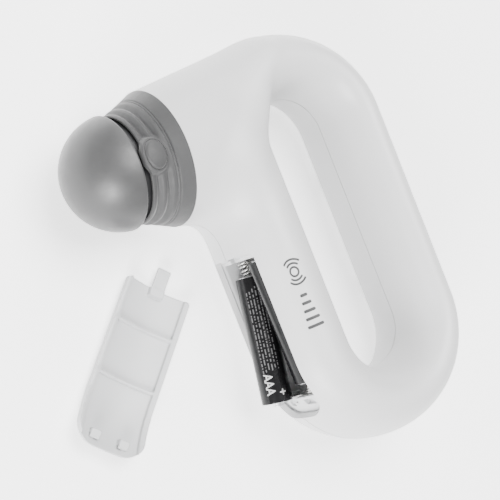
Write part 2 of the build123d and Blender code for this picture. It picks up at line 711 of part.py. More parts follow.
# ---- Circuit board and leads ----
BOARD_FRONT_X = BOARD_X - BOARD_THICKNESS / 2
BOARD_BACK_X = BOARD_X + BOARD_THICKNESS / 2
with BuildPart() as circuit_board:
    board_z = (-BOARD_HALF_WIDTH, BOARD_HALF_WIDTH)
    block((BOARD_FRONT_X, BOARD_BACK_X), (BOARD_LOW_Y, BOARD_HIGH_Y), board_z)
finish(circuit_board, "circuit_board")
with BuildPart() as board_parts:
    block((BOARD_BACK_X, BOARD_BACK_X + 1.6), (40.0, 45.0), (-3.0, 3.0))
    block((BOARD_BACK_X, BOARD_BACK_X + 3.0), (31.0, 35.0), (-2.0, 2.0))
    block((BOARD_FRONT_X - 1.2, BOARD_FRONT_X), (34.0, 37.0), (-6.0, -3.0))
finish(board_parts, "board_parts")

LEAD_RADIUS = 0.5
LEAD_BEND = 2.2
POWER_ROUTE = [(-28.0, 4.2, 5.6), (-25.5, 14.0, 5.6), (-27.2, 25.0, 7.5), (-29.2, 34.0, 7.5)]
MOTOR_ROUTE = [(-38.0, 43.2, 5.0), (-35.0, 43.2, 5.0), (-32.6, 46.5, 7.0), (-31.7, 49.2, 8.0)]


def leads(route):
    """A pair of insulated leads, mirrored across the mid-plane."""
    with BuildPart() as piece:
        for side in (-1, 1):
            with BuildLine() as line:
                FilletPolyline(*[(x, y, side * z) for x, y, z in route], radius=LEAD_BEND)
            with BuildSketch(Plane(origin=line.wire() @ 0, z_dir=line.wire() % 0)):
                Circle(LEAD_RADIUS)
            sweep(path=line.wire())
    return piece


finish(leads(POWER_ROUTE), "power_leads")
finish(leads(MOTOR_ROUTE), "motor_leads")
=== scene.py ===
"""Looks of the loop-handle hand massager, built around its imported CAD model."""

import json
from math import asin, atan2, cos, degrees, pi, radians, sin

import bmesh
import bpy
import numpy as np
from mathutils import Matrix, Vector


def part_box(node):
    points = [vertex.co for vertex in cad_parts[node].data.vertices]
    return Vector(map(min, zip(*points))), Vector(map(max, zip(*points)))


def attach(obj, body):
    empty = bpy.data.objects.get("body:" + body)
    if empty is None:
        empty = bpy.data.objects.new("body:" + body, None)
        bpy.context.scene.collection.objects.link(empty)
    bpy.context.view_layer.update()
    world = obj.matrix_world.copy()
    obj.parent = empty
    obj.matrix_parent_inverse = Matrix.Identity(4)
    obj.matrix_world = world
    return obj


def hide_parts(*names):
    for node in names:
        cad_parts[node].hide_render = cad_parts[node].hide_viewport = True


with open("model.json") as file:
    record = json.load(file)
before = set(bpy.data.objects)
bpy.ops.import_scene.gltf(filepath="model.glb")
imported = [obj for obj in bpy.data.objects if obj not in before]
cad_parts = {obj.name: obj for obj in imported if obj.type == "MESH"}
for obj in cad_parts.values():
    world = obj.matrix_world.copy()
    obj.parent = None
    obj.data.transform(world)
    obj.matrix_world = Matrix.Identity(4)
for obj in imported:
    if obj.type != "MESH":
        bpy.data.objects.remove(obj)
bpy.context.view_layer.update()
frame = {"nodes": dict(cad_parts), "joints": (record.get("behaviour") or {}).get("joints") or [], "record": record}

# ---- Modelling is in millimetres; the frame is in metres ----
MM = 0.001
JOINTS = {joint["name"]: joint for joint in frame["joints"]}


def box_mm(node):
    """Lowest and highest corners of a CAD node, in millimetres."""
    return [np.array(corner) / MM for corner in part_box(node)]


# ---- Casing dimensions ----
SHELL_LOW, SHELL_HIGH = box_mm("near_shell")
HEAD_Y = JOINTS["rotor_spin"]["pos_m"][1] / MM
MOUTH_X = SHELL_LOW[0]
MOUTH_RADIUS = SHELL_HIGH[2]
LOOP_RADIUS = 25.6
HALF_LIMB = 34.5
FRONT_HALF = 13.6
REAR_HALF = SHELL_HIGH[0] - LOOP_RADIUS
LATERAL_HALF = 20.6
WALL = 2.0
FLARE = 0.119  # slope of the barrel's top and bottom lines
CROWN_LOW = 50.6
NECK_BLEND = 10.8
CROWN_BLEND = 1.2
FRONT_X = -LOOP_RADIUS - FRONT_HALF
TABLE_Z = -MOUTH_RADIUS


# ============================================================ fields ====
def smooth_min(first, second, blend):
    """Union of two fields with a fillet about as wide as the blend."""
    share = np.clip(0.5 + 0.5 * (second - first) / blend, 0, 1)
    return second * (1 - share) + first * share - blend * share * (1 - share)


def smooth_max(first, second, blend):
    """Common part of two fields, with its edge rounded."""
    return -smooth_min(-first, -second, blend)


def ramp(value, low, high):
    """Smooth step from 0 at low to 1 at high."""
    share = np.clip((value - low) / (high - low), 0, 1)
    return share * share * (3 - 2 * share)


def ellipse_field(across, lateral, half_across, half_lateral):
    """Near-distance to an ellipse in a cross section."""
    level = np.sqrt((across / half_across) ** 2 + (lateral / half_lateral) ** 2)
    slope = np.sqrt((across / half_across**2) ** 2 + (lateral / half_lateral**2) ** 2)
    return level * (level - 1) / np.maximum(slope, 1e-6)


def loop_field(points):
    """The handle loop: an elliptical tube round a stadium-shaped centreline."""
    x, y, z = points.T
    past_end = np.sign(y) * np.maximum(np.abs(y) - HALF_LIMB, 0)
    radius = np.hypot(x, past_end)
    share = (1 + x / np.maximum(radius, 1e-6)) / 2
    half = REAR_HALF * share + FRONT_HALF * (1 - share)
    return ellipse_field(radius - LOOP_RADIUS, z, half, LATERAL_HALF)


def barrel_field(points):
    """The flared barrel from the head's mouth, drawn in to the crown of the loop."""
    x, y, z = points.T
    along = x - MOUTH_X
    top = HEAD_Y + MOUTH_RADIUS + FLARE * along
    low = HEAD_Y - MOUTH_RADIUS - FLARE * along
    low = low + (CROWN_LOW - low) * ramp(x, -27.0, -3.0)
    lateral = MOUTH_RADIUS + (LATERAL_HALF - MOUTH_RADIUS) * along / -MOUTH_X
    section = ellipse_field(y - (top + low) / 2, z, np.maximum((top - low) / 2, 1.0), lateral)
    return smooth_max(section, x - 1.0, 6.0)


def casing_field(points):
    """The whole casing, with the neck's wide fillet and a tighter one at the crown."""
    x, y, _ = points.T
    blend = CROWN_BLEND + (NECK_BLEND - CROWN_BLEND) * (1 - ramp(y, 28, 52)) * (1 - ramp(x, -32, -12))
    return smooth_min(loop_field(points), barrel_field(points), blend)


def gradient(field, points, reach=0.02):
    """Slope of a field by central differences."""
    slopes = []
    for axis in np.eye(3) * reach:
        slopes.append((field(points + axis) - field(points - axis)) / (2 * reach))
    return np.stack(slopes, 1)


def unit(vectors):
    """Vectors scaled to length 1."""
    return vectors / np.maximum(np.linalg.norm(vectors, axis=1, keepdims=True), 1e-9)


def settle(points, field, rounds=4, most=1.0):
    """Points moved along the slope onto the surface where the field is zero."""
    for _ in range(rounds):
        slope = gradient(field, points)
        step = field(points)[:, None] * slope / np.maximum((slope**2).sum(1, keepdims=True), 1e-6)
        length = np.linalg.norm(step, axis=1, keepdims=True)
        points = points - step * np.minimum(1, most / np.maximum(length, 1e-9))
    return points


def surface_net(field, low, high, step, relax=2):
    """Quad mesh of the surface where a field is zero, inside a box."""
    axes = [np.arange(a, b + step, step) for a, b in zip(low, high)]
    shape = [len(axis) for axis in axes]
    grid = np.stack(np.meshgrid(*axes, indexing="ij"), -1).reshape(-1, 3)
    values = field(grid).reshape(shape)
    inside = values < 0
    corner_count = sum(
        inside[i : shape[0] - 1 + i, j : shape[1] - 1 + j, k : shape[2] - 1 + k].astype(int)
        for i in (0, 1)
        for j in (0, 1)
        for k in (0, 1)
    )
    active = (corner_count > 0) & (corner_count < 8)
    number = np.full(active.shape, -1)
    number[active] = np.arange(active.sum())
    points = np.argwhere(active) * step + np.array(low) + step / 2
    quads = []
    for axis in range(3):
        first = np.moveaxis(inside, axis, 0)
        cells = np.moveaxis(number, axis, 0)
        crossing = first[:-1] != first[1:]
        crossing = crossing[:, 1:-1, 1:-1]
        starts = first[:-1][:, 1:-1, 1:-1]
        ring = [cells[:, :-1, :-1], cells[:, 1:, :-1], cells[:, 1:, 1:], cells[:, :-1, 1:]]
        corners = np.stack([part[crossing] for part in ring], 1)
        flip = ~starts[crossing] if axis != 1 else starts[crossing]
        corners[flip] = corners[flip][:, ::-1]
        quads.append(corners)
    quads = np.concatenate(quads)
    quads = quads[(quads >= 0).all(1)]
    points = settle(points, field, 5, step)
    sides = np.concatenate([quads[:, [a, (a + 1) % 4]] for a in range(4)])
    for _ in range(relax):
        total = np.zeros_like(points)
        count = np.zeros(len(points))
        np.add.at(total, sides[:, 0], points[sides[:, 1]])
        np.add.at(count, sides[:, 0], 1)
        points = settle(total / np.maximum(count, 1)[:, None], field, 3, step)
    return points, quads


# ============================================================ meshes ====
def to_bmesh(points, faces):
    """Editable mesh from points and faces."""
    mesh = bmesh.new()
    corners = [mesh.verts.new(point) for point in points]
    for face in faces:
        mesh.faces.new([corners[index] for index in face])
    mesh.verts.index_update()
    return mesh


def from_bmesh(mesh):
    """Points and faces of an editable mesh, which is freed."""
    mesh.verts.index_update()
    points = np.array([vert.co[:] for vert in mesh.verts])
    faces = [[vert.index for vert in face.verts] for face in mesh.faces]
    mesh.free()
    return points, faces


def trim(points, faces, keep, surface=None):
    """Cuts a mesh along keep = 0 and drops the negative side; the cut's points stay on the surface."""
    mesh = to_bmesh(points, faces)
    value = keep(points)
    near = np.abs(value) < 0.05
    on_cut = [vert for vert in mesh.verts if near[vert.index]]
    crossing = []
    for edge in mesh.edges:
        a, b = edge.verts
        if near[a.index] or near[b.index]:
            continue
        if value[a.index] * value[b.index] < 0:
            crossing.append((edge, a, value[a.index] / (value[a.index] - value[b.index])))
    for edge, start, share in crossing:
        _, vert = bmesh.utils.edge_split(edge, start, share)
        on_cut.append(vert)
    bmesh.ops.connect_verts(mesh, verts=on_cut)
    mesh.verts.index_update()
    cut = {vert.index for vert in on_cut}
    coordinates = np.array([vert.co[:] for vert in mesh.verts])
    value = keep(coordinates)
    outside = []
    for face in mesh.faces:
        inner = [value[vert.index] for vert in face.verts if vert.index not in cut]
        total = sum(inner) if inner else keep(np.array([face.calc_center_median()[:]]))[0]
        if total < 0:
            outside.append(face)
    bmesh.ops.delete(mesh, geom=outside, context="FACES")
    chosen = [vert for vert in on_cut if vert.is_valid and vert.link_faces]
    places = np.array([vert.co[:] for vert in chosen])
    for _ in range(4):
        places = settle(places, keep, 1)
        if surface:
            places = settle(places, surface, 1)
    for vert, place in zip(chosen, places):
        vert.co = place
    loose = [vert for vert in mesh.verts if not vert.link_faces]
    bmesh.ops.delete(mesh, geom=loose, context="VERTS")
    return from_bmesh(mesh)


def boundary_edges(faces):
    """Directed edges that only one face uses."""
    sides = {}
    for face in faces:
        for start, end in zip(face, list(face[1:]) + [face[0]]):
            sides[(start, end)] = (end, start) not in sides
            if (end, start) in sides:
                sides[(end, start)] = False
    return [side for side, single in sides.items() if single]


def thicken(points, faces, normals, layers):
    """Closed wall under a skin; each layer gives the depth of one ring of rim faces."""
    count = len(points)
    edges = boundary_edges(faces)
    rim = sorted({index for edge in edges for index in edge})
    place = {index: order for order, index in enumerate(rim)}
    all_points = [points, points - layers[-1] * normals]
    rings = [{index: index for index in rim}]
    start = 2 * count
    for depth in layers[:-1]:
        all_points.append(points[rim] - depth * normals[rim])
        rings.append({index: start + place[index] for index in rim})
        start += len(rim)
    rings.append({index: index + count for index in rim})
    all_faces = [list(face) for face in faces]
    all_faces += [[index + count for index in reversed(face)] for face in faces]
    for upper, lower in zip(rings[:-1], rings[1:]):
        all_faces += [[upper[b], upper[a], lower[a], lower[b]] for a, b in edges]
    return np.concatenate(all_points), all_faces, rings


def ring_faces(rows, segments, closed=False):
    """Quads between rings of points, closed into a tube of rings or with both end rings capped."""
    faces = []
    for row in range(rows if closed else rows - 1):
        below = row * segments
        above = (row + 1) % rows * segments
        for step in range(segments):
            beside = (step + 1) % segments
            faces.append([below + step, below + beside, above + beside, above + step])
    if not closed:
        faces.append(list(range(segments))[::-1])
        faces.append([(rows - 1) * segments + step for step in range(segments)])
    return faces


def lathe(profile, segments=96, closed=False):
    """Turned mesh about its own z axis from (radius, height) points."""
    profile = np.array(profile, float)
    angles = np.arange(segments) * 2 * pi / segments
    ring = np.stack([np.cos(angles), np.sin(angles), np.zeros(segments)], 1)
    points = np.concatenate([ring * radius + [0, 0, height] for radius, height in profile])
    return points, ring_faces(len(profile), segments, closed)


def arc(centre, radius, start, end, steps=8):
    """Points on an arc in a profile; angles in degrees."""
    angles = np.radians(np.linspace(start, end, steps + 1))
    return [(centre[0] + radius * cos(a), centre[1] + radius * sin(a)) for a in angles]


def placed(points, origin, along, up=(0, 0, 1)):
    """Points of a piece with its z axis laid along a direction from an origin."""
    axis = Vector(along).normalized()
    side = Vector(up).cross(axis).normalized()
    basis = np.array([side, axis.cross(side), axis])
    return points @ basis + np.array(origin)


def joined(*parts):
    """One mesh from several (points, faces) pairs."""
    points, faces, start = [], [], 0
    for part_points, part_faces in parts:
        points.append(part_points)
        faces += [[index + start for index in face] for face in part_faces]
        start += len(part_points)
    return np.concatenate(points), faces


def make_piece(name, mesh_data, body, material, stands_for=(), sharp=35):
    """Blender object from millimetre points, riding on a CAD body."""
    points, faces = mesh_data
    mesh = bpy.data.meshes.new(name)
    mesh.from_pydata((np.asarray(points) * MM).tolist(), [], [list(map(int, face)) for face in faces])
    mesh.validate()
    mesh.materials.append(material)
    mesh.shade_smooth()
    mesh.set_sharp_from_angle(angle=radians(sharp))
    piece = bpy.data.objects.new(name, mesh)
    bpy.context.scene.collection.objects.link(piece)
    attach(piece, body)
    if stands_for:
        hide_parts(*stands_for)
    return piece


# ========================================================= materials ====
class Shader:
    """Node material built up a step at a time."""

    def __init__(self, name, colour, roughness, **settings):
        self.material = bpy.data.materials.new(name)
        self.material.use_nodes = True
        self.nodes = self.material.node_tree.nodes
        self.links = self.material.node_tree.links
        self.surface = self.nodes["Principled BSDF"]
        self.surface.inputs["Base Color"].default_value = (*colour, 1)
        self.surface.inputs["Roughness"].default_value = roughness
        for socket, value in settings.items():
            self.surface.inputs[socket.replace("_", " ")].default_value = value
        self.colour = colour
        self.roughness = roughness
        self.place = self.nodes.new("ShaderNodeTexCoord").outputs["Object"]
        self.height = None

    def noise(self, scale, detail=3.0, stretch=(1, 1, 1)):
        """Noise over the object; scale is in lumps per metre."""
        mapping = self.nodes.new("ShaderNodeMapping")
        mapping.inputs["Scale"].default_value = stretch
        self.links.new(self.place, mapping.inputs["Vector"])
        texture = self.nodes.new("ShaderNodeTexNoise")
        texture.inputs["Scale"].default_value = scale
        texture.inputs["Detail"].default_value = detail
        self.links.new(mapping.outputs["Vector"], texture.inputs["Vector"])
        return texture.outputs["Fac"]

    def spread(self, source, low, high):
        """A 0 to 1 source moved to a range."""
        node = self.nodes.new("ShaderNodeMapRange")
        node.inputs["From Min"].default_value = 0.3
        node.inputs["From Max"].default_value = 0.7
        node.inputs["To Min"].default_value = low
        node.inputs["To Max"].default_value = high
        self.links.new(source, node.inputs["Value"])
        return node.outputs["Result"]

    def mottle(self, scale, amount, detail=3.0):
        """Slight light and dark patches in the base colour."""
        node = self.nodes.new("ShaderNodeMix")
        node.data_type = "RGBA"
        node.inputs["A"].default_value = (*[c * (1 - amount) for c in self.colour], 1)
        node.inputs["B"].default_value = (*[min(1, c * (1 + amount)) for c in self.colour], 1)
        self.links.new(self.noise(scale, detail), node.inputs["Factor"])
        self.links.new(node.outputs["Result"], self.surface.inputs["Base Color"])
        return self

    def sheen_patches(self, scale, amount, stretch=(1, 1, 1)):
        """Roughness that varies over the surface."""
        lumps = self.noise(scale, 4.0, stretch)
        source = self.spread(lumps, self.roughness - amount, self.roughness + amount)
        self.links.new(source, self.surface.inputs["Roughness"])
        return self

    def grain(self, scale, depth, detail=2.0, stretch=(1, 1, 1)):
        """Fine bumps; depth is in metres."""
        bump = self.nodes.new("ShaderNodeBump")
        bump.inputs["Strength"].default_value = 1.0
        bump.inputs["Distance"].default_value = depth
        self.links.new(self.noise(scale, detail, stretch), bump.inputs["Height"])
        if self.height:
            self.links.new(self.height, bump.inputs["Normal"])
        self.height = bump.outputs["Normal"]
        self.links.new(self.height, self.surface.inputs["Normal"])
        return self


def plastic(name, colour, roughness, **settings):
    """Moulded plastic with fine spark-eroded grain and faint sheen patches."""
    shader = Shader(name, colour, roughness, **settings)
    return shader.mottle(60, 0.02).sheen_patches(240, 0.05).grain(5200, 0.000012).material


def metal(name, colour, roughness, stretch=(1, 1, 1)):
    """Plated or drawn metal with fine drawing marks."""
    shader = Shader(name, colour, roughness, Metallic=1.0).mottle(300, 0.08)
    return shader.sheen_patches(900, 0.08, stretch).grain(2600, 0.00001, 3.0, stretch).material


def coated(name, colour, roughness, patches, grain):
    """Rubber, lacquer or print: patches and grain are each (scale, amount)."""
    return Shader(name, colour, roughness).mottle(*patches).grain(*grain).material


CASING_WHITE = plastic("casing_white", (0.56, 0.56, 0.563), 0.4)
TRAY_WHITE = plastic("tray_white", (0.54, 0.545, 0.55), 0.55)
LID_WHITE = plastic("lid_white", (0.58, 0.585, 0.59), 0.42, Transmission_Weight=0.12)
DARK_PLASTIC = plastic("dark_plastic", (0.012, 0.012, 0.013), 0.5)
PART_BLACK = plastic("component_black", (0.02, 0.02, 0.021), 0.4)
CAP_WHITE = plastic("cap_white", (0.7, 0.68, 0.62), 0.45)
BOOT_GREY = (
    Shader("boot_grey", (0.03, 0.03, 0.0305), 0.6, Sheen_Weight=0.25, Sheen_Roughness=0.45)
    .mottle(180, 0.05)
    .sheen_patches(500, 0.05)
    .grain(6500, 0.00002)
    .material
)
BALL_GREY = (
    Shader("ball_grey", (0.045, 0.045, 0.0455), 0.42, Sheen_Weight=0.2, Sheen_Roughness=0.4)
    .mottle(90, 0.03)
    .sheen_patches(320, 0.05)
    .grain(7000, 0.00001)
    .material
)
BLACK_RUBBER = coated("black_rubber", (0.015, 0.015, 0.015), 0.8, (700, 0.3), (2500, 0.00008))
STEEL = metal("steel", (0.52, 0.52, 0.53), 0.32)
NICKEL = metal("contact_nickel", (0.5, 0.495, 0.48), 0.26)
CELL_STEEL = metal("cell_steel", (0.66, 0.66, 0.67), 0.28)
BRONZE = metal("bronze", (0.5, 0.3, 0.14), 0.42)
BRASS = metal("brass", (0.78, 0.58, 0.24), 0.28)
COPPER = metal("copper_wire", (0.7, 0.28, 0.12), 0.3, (1, 9, 9))
BOARD_GREEN = coated("board_green", (0.02, 0.13, 0.05), 0.3, (260, 0.25), (1400, 0.00002))
LEAD_RED = coated("lead_red", (0.42, 0.015, 0.015), 0.35, (400, 0.08), (1800, 0.00001))
LEAD_BLACK = coated("lead_black", (0.015, 0.015, 0.016), 0.35, (400, 0.1), (1800, 0.00001))
MAGNET = coated("magnet_black", (0.045, 0.045, 0.05), 0.6, (800, 0.2), (2200, 0.00003))
PRINT_GREY = coated("print_grey", (0.028, 0.028, 0.029), 0.5, (900, 0.06), (4000, 0.000004))
PRINT_SILVER = coated("print_silver", (0.09, 0.09, 0.092), 0.4, (900, 0.08), (4000, 0.000004))
PRINT_WHITE = coated("print_white", (0.45, 0.45, 0.45), 0.4, (900, 0.05), (4000, 0.000004))


# ====================================================== casing halves ====
LID_LENGTH = 57.2
LID_WIDTH = 24.0
LID_TOP_Y = 4.0
LID_THICKNESS = 1.6
LID_FOOT_RADIUS = 7.0
LID_HEAD_RADIUS = 1.5
LID_GAP = 0.3
LID_MIDDLE_Y = LID_TOP_Y - LID_LENGTH / 2
SEAM_HALF_GAP = 0.2
LIP_DEPTH = 0.4
GROOVE_SIDE = 0.12  # depth to which a rim runs straight in, before the parting groove slopes
CASING_STEP = 1.2


def window_field(points, clearance):
    """Rounded outline of the lid in the front face, negative inside."""
    _, y, z = points.T
    radius = np.where(y < LID_MIDDLE_Y, LID_FOOT_RADIUS, LID_HEAD_RADIUS) + clearance
    past_y = np.abs(y - LID_MIDDLE_Y) - (LID_LENGTH / 2 + clearance - radius)
    past_z = np.abs(z) - (LID_WIDTH / 2 + clearance - radius)
    outside = np.hypot(np.maximum(past_y, 0), np.maximum(past_z, 0))
    return outside + np.minimum(np.maximum(past_y, past_z), 0) - radius


SCREW_SPOTS = [
    (25.6, 16.0),
    (25.6, -24.0),
    (0.0, -60.1),
    (9.0, 58.6),
    (-30.0, 61.5),
    (-18.0, -20.0),
    (-18.0, 12.0),
]
SCREW_SINK = 2.7
SCREW_FLOOR_Z = -9.0
BOSS_RADIUS = 3.5
BOSS_STEM = 3.0
SINK_BORE = 2.75
SHANK_BORE = 1.25
BOSS_GAP = 0.05  # between a boss's end and the parting plane
BOSS_BURIED = 0.8  # depth of a boss's top under the skin


def half_shell(side):
    """Skin, rim and inner wall of one casing half; side is 1 for the near half."""
    low = np.array([MOUTH_X - 2, SHELL_LOW[1] - 2, -MOUTH_RADIUS - 2])
    high = np.array([SHELL_HIGH[0] + 2, SHELL_HIGH[1] + 2, MOUTH_RADIUS + 2])
    points, faces = surface_net(casing_field, low, high, CASING_STEP)
    points, faces = trim(points, faces, lambda p: side * p[:, 2] - SEAM_HALF_GAP, casing_field)
    points, faces = trim(points, faces, lambda p: p[:, 0] - MOUTH_X, casing_field)
    points, faces = trim(
        points, faces, lambda p: np.maximum(window_field(p, LID_GAP), p[:, 0] + LOOP_RADIUS + 5), casing_field
    )
    if side < 0:
        for x, y in SCREW_SPOTS:
            points, faces = trim(
                points, faces, lambda p: np.hypot(p[:, 0] - x, p[:, 1] - y) - SCREW_SINK, casing_field
            )
    normals = unit(gradient(casing_field, points))
    on_seam = np.abs(points[:, 2]) < SEAM_HALF_GAP + 0.02
    solid, faces, rings = thicken(points, faces, normals, [GROOVE_SIDE, LIP_DEPTH, WALL])
    for ring in rings[2:]:
        for outer_index, index in ring.items():
            if on_seam[outer_index]:
                solid[index, 2] = 0
    bosses = []
    for x, y in SCREW_SPOTS:
        turns = np.linspace(0, 2 * pi, 13)
        ring = np.stack([x + BOSS_RADIUS * np.cos(turns), y + BOSS_RADIUS * np.sin(turns)], 1)
        heights = np.arange(4.0, 24.0, 0.1)
        column = np.array([[spot[0], spot[1], side * z] for z in heights for spot in ring])
        buried = (casing_field(column) < -BOSS_BURIED).reshape(len(heights), -1).all(1)
        skin_z = side * heights[buried].max()
        if side < 0:
            floor_z = max(SCREW_FLOOR_Z, skin_z + 1.5)
            profile = [(BOSS_RADIUS, skin_z), (SINK_BORE, skin_z), (SINK_BORE, floor_z)]
            profile += [(SHANK_BORE, floor_z), (SHANK_BORE, -BOSS_GAP), (BOSS_STEM, -BOSS_GAP)]
            profile += [(BOSS_STEM, floor_z + 0.5), (BOSS_RADIUS, floor_z - 0.5)]
        else:
            profile = [(BOSS_STEM, BOSS_GAP), (BOSS_STEM, skin_z)]
            profile += [(SHANK_BORE, skin_z), (SHANK_BORE, BOSS_GAP)]
        boss_points, boss_faces = lathe(profile, 32, closed=True)
        bosses.append((boss_points + np.array([x, y, 0]), boss_faces))
    return joined((solid, faces), *bosses)


make_piece("near_casing", half_shell(1), "casing", CASING_WHITE, ["near_shell"])
make_piece("far_casing", half_shell(-1), "casing", CASING_WHITE, ["far_shell"])


# ================================================================ lid ====
RIB_SHARES = (0.26, 0.586)
TAB_WIDTH = 4.7
TAB_REACH = 7.0
HOOK_Y = -48.6
HOOK_Z = 5.2
LID_YAW = radians(45.0)
EDGE = 0.35


def block_field(points, low, high):
    """Axis-aligned block between two corners."""
    centre = (np.array(low) + np.array(high)) / 2
    past = np.abs(points - centre) - (np.array(high) - np.array(low)) / 2
    outside = np.linalg.norm(np.maximum(past, 0), axis=1)
    return outside + np.minimum(past.max(1), 0)


def lid_field(points):
    """The lid where it sits when closed: plate, side walls, ribs, tab and hooks."""
    x, y, z = points.T
    depth = casing_field(points)
    outline = window_field(points, 0)
    plate = smooth_max(np.maximum(depth, -depth - LID_THICKNESS), outline, EDGE)
    band = np.maximum(-depth - LID_THICKNESS - 1.25, depth + LID_THICKNESS - 0.4)
    walls = np.maximum(np.abs(np.abs(z) - LID_WIDTH / 2 + 1.05) - 0.85, np.maximum(band, outline + 0.15))
    field = smooth_min(plate, walls, 0.25)
    for share in RIB_SHARES:
        rib = np.abs(y - (LID_TOP_Y - share * LID_LENGTH)) - 0.5
        rib = np.maximum(rib, np.maximum(band, np.abs(z) - LID_WIDTH / 2 + 0.6))
        field = smooth_min(field, rib, 0.25)
    tab_low = (FRONT_X + 2.25, LID_TOP_Y - 1.5, -TAB_WIDTH / 2)
    tab_high = (FRONT_X + 3.55, LID_TOP_Y + TAB_REACH, TAB_WIDTH / 2)
    field = smooth_min(field, block_field(points, tab_low, tab_high) - 0.02, 0.2)
    root_low = (FRONT_X + 1.2, LID_TOP_Y - 3.0, -TAB_WIDTH / 2 - 0.25)
    root_high = (FRONT_X + 3.7, LID_TOP_Y - 0.1, TAB_WIDTH / 2 + 0.25)
    field = smooth_min(field, block_field(points, root_low, root_high), 0.3)
    for side in (-1, 1):
        centre_z = side * HOOK_Z
        low = (FRONT_X + 4.2, HOOK_Y - 0.7, centre_z - 1.7)
        high = (FRONT_X + 7.4, HOOK_Y + 0.7, centre_z + 1.7)
        field = smooth_min(field, block_field(points, low, high), 0.3)
        low = (FRONT_X + 6.4, HOOK_Y - 2.2, centre_z - 1.7)
        field = smooth_min(field, block_field(points, low, high), 0.2)
    return field


def lid_mesh():
    """The lid, turned over beside the massager with its outside on the table."""
    low = (FRONT_X - 1.0, LID_TOP_Y - LID_LENGTH - 1.0, -LID_WIDTH / 2 - 1.0)
    high = (FRONT_X + 9.0, LID_TOP_Y + TAB_REACH + 1.0, LID_WIDTH / 2 + 1.0)
    points, faces = surface_net(lid_field, low, high, 0.4, relax=1)
    along = (sin(LID_YAW), cos(LID_YAW), 0)
    across = (-cos(LID_YAW), sin(LID_YAW), 0)
    basis = np.array([(0, 0, 1), along, across])
    points = (points - np.array([FRONT_X, LID_MIDDLE_Y, 0])) @ basis
    cad_low, cad_high = box_mm("battery_lid")
    middle = (points.min(0) + points.max(0)) / 2
    shift = (cad_low + cad_high) / 2 - middle
    shift[2] = TABLE_Z - points[:, 2].min()
    return points + shift, faces


make_piece("lid_shell", lid_mesh(), "battery_lid", LID_WHITE, ["battery_lid"], sharp=50)


# ======================================================== rubber boot ====
BUTTON_LOW, BUTTON_HIGH = box_mm("power_button")
BUTTON_X = (BUTTON_LOW[0] + BUTTON_HIGH[0]) / 2
BUTTON_HALF_X = (BUTTON_HIGH[0] - BUTTON_LOW[0]) / 2
BUTTON_HALF_ROUND = 4.6
BUTTON_TOP = 21.3
PAD_SEAT = 17.9
PAD_AXIS = JOINTS["button_press"]["axis"]
PAD_ANGLE = atan2(-PAD_AXIS[2], -PAD_AXIS[1])
BOOT_LENGTH = 12.6
BOOT_BORE = 17.3
SPIGOT_RADIUS = 19.8
SPIGOT_BORE = 18.7
RIB_PITCH = 3.1
RIB_DEPTH = 0.85
CREASE_DEPTH = 0.4
BOOT_CLEAR = 0.08  # gap between the boot and the casing's mouth
BOOT_EDGE = 0.35  # rounding of the boot's front edge
SPIGOT_BACK = 5.5
PAD_GAP = 0.12
ROUND_RADIUS = 19.5  # radius at which distances round the boot are measured


def pad_level(x, round_by, margin=0.0):
    """0 at the pad's centre and 1 on its oval edge."""
    return np.hypot((x - BUTTON_X) / (BUTTON_HALF_X + margin), round_by / (BUTTON_HALF_ROUND + margin))


def boot_radius(x, round_by):
    """Radius of the boot's skin, with its ribs, double crease and the swelling round the pad."""
    back = MOUTH_X - x
    skin = smooth_max(22.8 - 0.43 * back, 21.1 - 0.24 * back, 1.0)
    clear = ramp(pad_level(x, round_by, 1.2), 0.95, 1.35)
    wave = (0.5 + 0.5 * np.cos(2 * pi * (back - 7.7) / RIB_PITCH)) ** 1.6
    skin = skin - RIB_DEPTH * wave * ramp(back, 5.4, 6.6) * clear
    for place, share in ((4.5, 1.0), (5.25, 0.6)):
        skin = skin - CREASE_DEPTH * share * np.exp(-(((back - place) / 0.16) ** 2))
    swelling = 20.15 - 2.2 * np.maximum(pad_level(x, round_by, 0.5) - 1, 0) ** 1.2 * 4
    return smooth_max(skin, swelling, 0.7)


def on_head(x, radius, angle):
    """Points round the head's axis."""
    return np.stack([x, HEAD_Y + radius * np.cos(angle), radius * np.sin(angle)], -1)


